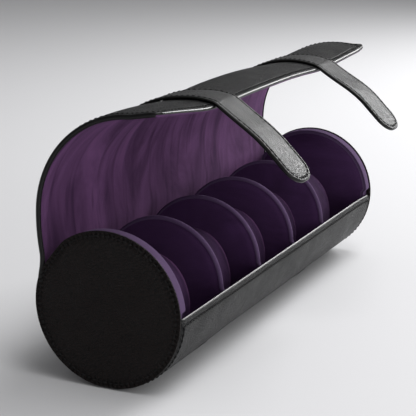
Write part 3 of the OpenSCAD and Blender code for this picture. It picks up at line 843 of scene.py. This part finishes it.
discSeam = stitchMarks([(0, 0), (2 * np.pi * disc["seamRadius"], 0)])
for side, sign in sides.items():
    face, radius = halfLength, caseShape["faceRadius"]
    angle, outline = discOutline(radius, disc["steps"])
    profile = discProfile(face, face - disc["leather"], radius, disc["edge"] / 2)
    fromEdge = radius - profile[:, 1]
    outside = profile[:, 0] > face - 0.6
    seam = disc["groove"] * bell(profile[:, 1] - disc["seamRadius"], 0.5)
    # small pleats between the seam and the edge, and a shallow dish in the middle
    pleat = smooth(fromEdge, *disc["pleatIn"]) * (1 - smooth(fromEdge, *disc["pleatOut"]))
    dish = disc["dish"] * smooth(fromEdge, *disc["dishSpan"])
    axial = (profile[:, 0] - np.where(outside, seam + dish, 0))[:, None]
    pleats = disc["pleatHeight"] * np.where(outside, pleat, 0)[:, None]
    axial = axial - pleats * (1 + np.cos(disc["pleats"] * angle))
    points, faces = revolve(sign * axial, profile[:, 1] / radius, outline)

    def onDisc(x, s, h):
        # x runs round the seam, s across it and h out of the face
        turn = x / disc["seamRadius"]
        share = np.interp(turn, angle, outline, period=2 * np.pi)
        r = (disc["seamRadius"] + s) * share / caseShape["faceRadius"]
        return aroundCase(sign * (face - 0.45 + h), r, turn)

    parts = [part(points, faces)] + stitchParts(discSeam, onDisc, 0.3)
    makePiece(f"{side}EndFace", parts, [discLeather, threadMaterial], "case",
              [f"{side}_end_face"])

    inner = face - caseShape["discThickness"]
    angle, outline = padOutline(disc["padSteps"])
    profile = discProfile(inner, face - disc["tuck"], radius, 1.3, 7)
    share, fromEdge = profile[:, 1] / radius, radius - profile[:, 1]
    soft = np.where(profile[:, 0] < inner + 0.3, disc["pad"] * share**6, 0)
    crease = bell(fromEdge - disc["crease"], 0.8)
    soft = soft + 0.35 * crease * (profile[:, 0] < inner + 1.5)
    points, faces = revolve(sign * (profile[:, 0] + soft), share, outline)
    # the outer rim of the pad takes the paler suede, painted highlight on the rounded edge, and
    # the face inside it the darker suede, painted shade
    mats = np.where(fromEdge[faces // len(angle)].max(1) < disc["rim"], 0, 1)
    makePiece(f"{side}EndSuede", [part(points, faces, mats)], [rimSuede, darkSuede], "case",
              [f"{side}_end_suede", f"{side}_end_board"])
print("end discs made")


# dividers: thin suede pads, lower than the end discs, with a paler edge of painted highlight

divider = {
    "places": (-92.0, -36.96, 18.08, 73.12), "half": 1.6, "top": 39.5, "drop": 2.0, "crease": 2.8,
    "creaseDepth": 0.3, "rim": 2.1, "middle": 40,
}
angle = fullTurn(160)
sine, lowerReach = np.sin(angle), caseShape["discRadius"]
upperReach = (-divider["drop"] * sine
              + np.sqrt(divider["top"] ** 2 - (divider["drop"] * np.cos(angle)) ** 2))
outlineReach = upperReach + (lowerReach - upperReach) * (1 - smooth(sine, -0.13, -0.02))
half, centre = divider["half"], divider["middle"]
inward = np.concatenate([half * edgeSteps, [2.0, 2.8, 4, 7, 12, 20, 30]])
thick = half * quarterRound(inward, half)
thick = thick - divider["creaseDepth"] * bell(inward - divider["crease"], 0.8)
offsets = np.concatenate([[-half], -thick[::-1], thick[1:], [half]])
depths = np.concatenate([[centre], inward[::-1], inward[1:], [centre]])
reach = outlineReach - depths[:, None]
reach[[0, -1]] = 0
faces = gridFaces(len(offsets), len(angle), closed=True)
rowOf = faces[:, 0] // len(angle)
# the edge band takes the paler suede, painted highlight, and the side faces the darker suede,
# painted shade
mats = np.where(np.maximum(depths[rowOf], depths[rowOf + 1]) < divider["rim"], 0, 1)
for k, middle in enumerate(divider["places"]):
    points = aroundCase(middle + offsets[:, None], reach, angle)
    makePiece(f"divider{k + 1}", [part(points, faces, mats)], [rimSuede, darkSuede], "case",
              [f"divider_{k + 1}"] + (["divider_boards"] if k == 0 else []))
print("dividers made")


# pillows: padded oval rolls with bulging ends and piped edges; the cover is filled by cloth
# pressure, and its seams are drawn in afterwards

pillow = {
    "width": 44.0, "depth": 54.0, "height": 64.0, "squareness": 0.5, "seam": 15.0, "draw": 0.05,
    "centre": -9.95, "fill": 0.8, "start": 0.94, "voxel": 3.0, "pressure": 4.0, "frames": 20,
    "cap": 6.0, "piping": 0.95,
}


def pillowSurface(psi, theta):
    # ends at psi of -90 and 90 degrees: superellipse along the case, ellipse round it
    power = pillow["squareness"]
    share = np.abs(np.cos(psi)) ** power
    x = np.sign(psi) * np.abs(np.sin(psi)) ** power * pillow["width"] / 2
    return (x + 0 * theta, share * pillow["depth"] / 2 * np.cos(theta),
            share * pillow["height"] / 2 * np.sin(theta))


def evaluated(holder):
    # the object's mesh with its modifiers, its points in mm and its quads; the object goes
    graph = bpy.context.evaluated_depsgraph_get()
    mesh = bpy.data.meshes.new_from_object(holder.evaluated_get(graph))
    points = np.empty(len(mesh.vertices) * 3)
    mesh.vertices.foreach_get("co", points)
    faces = np.empty(len(mesh.loops), int)
    mesh.loops.foreach_get("vertex_index", faces)
    bpy.data.objects.remove(holder)
    return mesh, points.reshape(-1, 3) * 1000, faces.reshape(-1, 4)


def modified(mesh, kind, **settings):
    holder = link(bpy.data.objects.new("pillowTrial", mesh))
    modifier = holder.modifiers.new("step", kind)
    for key, value in settings.items():
        setattr(modifier, key, value)
    return holder


def filledPillow():
    # the form a little too small, remeshed, filled with air, and each move limited by the cap
    psi = np.radians(np.linspace(-90, 90, 49))[:, None]
    theta = fullTurn(72)[None]
    points = np.stack(pillowSurface(psi, theta), -1) * pillow["start"]
    points, quads, triangles, *_ = part(points, gridFaces(49, 72, closed=True))
    mesh = bpy.data.meshes.new("pillowStart")
    mesh.from_pydata((points / 1000).tolist(), [], quads.tolist() + triangles.tolist())
    mesh, before, _ = evaluated(modified(mesh, "REMESH", mode="VOXEL",
                                         voxel_size=pillow["voxel"] / 1000))
    holder = modified(mesh, "CLOTH")
    cloth = holder.modifiers["step"]
    cloth.settings.use_pressure = True
    cloth.settings.uniform_pressure_force = pillow["pressure"]
    cloth.settings.effector_weights.gravity = 0
    cloth.point_cache.frame_end = pillow["frames"]
    for frameNumber in range(1, pillow["frames"] + 1):
        bpy.context.scene.frame_set(frameNumber)
    _, after, _ = evaluated(holder)
    bpy.context.scene.frame_set(1)
    move = after - before
    size = np.linalg.norm(move, axis=1)[:, None]
    before = before + move * np.minimum(1, pillow["cap"] / np.maximum(size, 1e-6))
    mesh.vertices.foreach_set("co", (before / 1000).ravel())
    mesh.update()
    _, points, faces = evaluated(modified(mesh, "SUBSURF", levels=1, render_levels=1))
    points = points - (points.max(0) + points.min(0)) / 2
    box = np.array([pillow["width"], pillow["depth"], pillow["height"]])
    return points * box / np.ptp(points, axis=0), faces


def sewnPillow(points):
    # seams drawn in round both ends, with small puckers outside them
    x = points[:, 0]
    theta = np.arctan2(points[:, 2], points[:, 1])
    away = np.abs(x) - pillow["seam"]
    seam = bell(away, 1.5) + 0.3 * bell(away - 2.6, 2.2) * np.cos(30 * theta)
    radial = 1 - pillow["draw"] * seam
    return points * np.stack([np.ones_like(x), radial, radial], 1)


def pipingParts(points):
    # a thin cord laid in each seam: at each angle its distance out is the cover's own
    turns = fullTurn(96)
    around = np.radians(np.arange(0, 360, 45))
    theta = np.arctan2(points[:, 2], points[:, 1]) % (2 * np.pi)
    cords = []
    for sign in (-1, 1):
        near = np.abs(points[:, 0] - sign * pillow["seam"]) < 1.3
        order = np.argsort(theta[near])
        reach = np.hypot(points[near, 1], points[near, 2])
        out = np.interp(turns, theta[near][order], reach[order], period=2 * np.pi)
        waves = np.fft.rfft(out)
        waves[9:] = 0
        out = np.fft.irfft(waves, len(turns)) + 0.35
        r = out[None] + pillow["piping"] * np.cos(around)[:, None]
        x = sign * pillow["seam"] + pillow["piping"] * np.sin(around)[:, None] + 0 * r
        cord = np.stack([x, r * np.cos(turns), r * np.sin(turns)], -1)
        cords.append(np.concatenate([cord, cord[:1]]))
    return cords, gridFaces(len(around) + 1, len(turns), closed=True)


def inBay(points, middle):
    return toFrame(points[..., 0] + middle, points[..., 1], points[..., 2] + pillow["centre"])


cover, coverFaces = filledPillow()
cover = sewnPillow(cover)
cords, cordFaces = pipingParts(cover)
bayEnd = halfLength - caseShape["discThickness"]
bayEdges = [-bayEnd, *divider["places"], bayEnd]
for k in range(5):
    middle = (bayEdges[k] + bayEdges[k + 1]) / 2
    parts = [part(inBay(cover, middle), coverFaces)]
    parts += [part(inBay(cord, middle), cordFaces, 1) for cord in cords]
    # the cover takes the darker pillow suede, painted shade where the pillows sit deep in the
    # bays
    piece = makePiece(f"pillow{k + 1}", parts, [shadedPillowSuede, liningSuede], f"pillow_body_{k + 1}",
                      [f"pillow_{k + 1}", f"foam_{k + 1}"])
print("pillows made:", len(coverFaces), "faces each")

# the board and the magnets are sealed inside the case
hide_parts("body_board", "base_magnets")


# studio

studio = {
    "floor": "#dcdcde",
    "world": 0.24,
    "backdrop": "#e4e4e6",
    "lamps": (
        {"name": "tabSoftbox", "at": (1.38, -0.46, 0.8), "size": (0.5, 0.85), "power": 21.0},
        {"name": "overheadSoftbox", "at": (0.1, -0.35, 1.4), "size": (1.6, 0.5), "power": 12.0},
        {"name": "frontFill", "at": (-0.7, -1.6, 0.6), "size": (1.0, 1.0), "power": 9.0},
    ),
}
# a pale matt floor, which lightens the leather from below
floorMaterial = newMaterial("paleFloor", {
    "Base Color": colour(studio["floor"]), "Roughness": 0.7})[0]
floorMesh = bpy.data.meshes.new("floor")
sweep = np.linspace(0, 1, 40)
profileY = np.concatenate([[-8.0, 3.0], 3.0 + 1.5 * np.sin(sweep[1:] * np.pi / 2), [4.5]])
profileZ = np.concatenate([[0, 0], 1.5 - 1.5 * np.cos(sweep[1:] * np.pi / 2), [9.0]])
floorPoints = np.stack([np.stack([np.full_like(profileY, x), profileY, profileZ], 1)
                        for x in (-9.0, 9.0)])
floorMesh.from_pydata(floorPoints.reshape(-1, 3).tolist(), [],
                      gridFaces(2, len(profileY))[:, ::-1].tolist())
floorMesh.shade_smooth()
floorMesh.materials.append(floorMaterial)
link(bpy.data.objects.new("floor", floorMesh))

world = bpy.data.worlds.new("studioWorld")
bpy.context.scene.world = world
world.use_nodes = True
tree = world.node_tree
tree.nodes.clear()
light = addNode(tree, "Background", {"Color": (1, 1, 1, 1), "Strength": studio["world"]})
backdrop = addNode(tree, "Background", {"Color": colour(studio["backdrop"]), "Strength": 1.0})
path = addNode(tree, "LightPath")
shown = addNode(tree, "MixShader", {0: path.outputs["Is Camera Ray"], 1: light, 2: backdrop})
addNode(tree, "OutputWorld", {"Surface": shown})


def placed(name, data, at, right, upward, backward):
    # links a lamp or the camera, which look against their backward direction
    matrix = np.eye(4)
    matrix[:3] = np.stack([right, upward, backward, at], 1)
    holder = link(bpy.data.objects.new(name, data))
    holder.matrix_world = Matrix(matrix.tolist())
    return holder


target = np.array([0.0, 0.0, 0.07])
for lamp in studio["lamps"]:
    light = bpy.data.lights.new(lamp["name"], "AREA")
    light.shape = "RECTANGLE"
    light.size, light.size_y = lamp["size"]
    light.energy = lamp["power"]
    backward = unit(np.array(lamp["at"]) - target)
    right = unit(np.cross([0, 0, 1], backward))
    placed(lamp["name"], light, lamp["at"], right, np.cross(backward, right), backward)

# the photograph's camera, fitted to the case's edges
view = {
    "at": (-0.77903, -0.330495, 0.28660),
    "right": (0.42148, -0.90684, 0.0),
    "upward": (0.22654, 0.10529, 0.96829),
    "backward": (-0.87809, -0.40811, 0.24981),
    "lens": 118.3,
    "sensor": 36,
}
cameraData = bpy.data.cameras.new("camera")
cameraData.sensor_width = view["sensor"]
cameraData.lens = view["lens"]
bpy.context.scene.camera = placed("camera", cameraData, *(
    view[key] for key in ("at", "right", "upward", "backward")))
bpy.context.scene.view_settings.view_transform = "Standard"
print("studio and camera set")
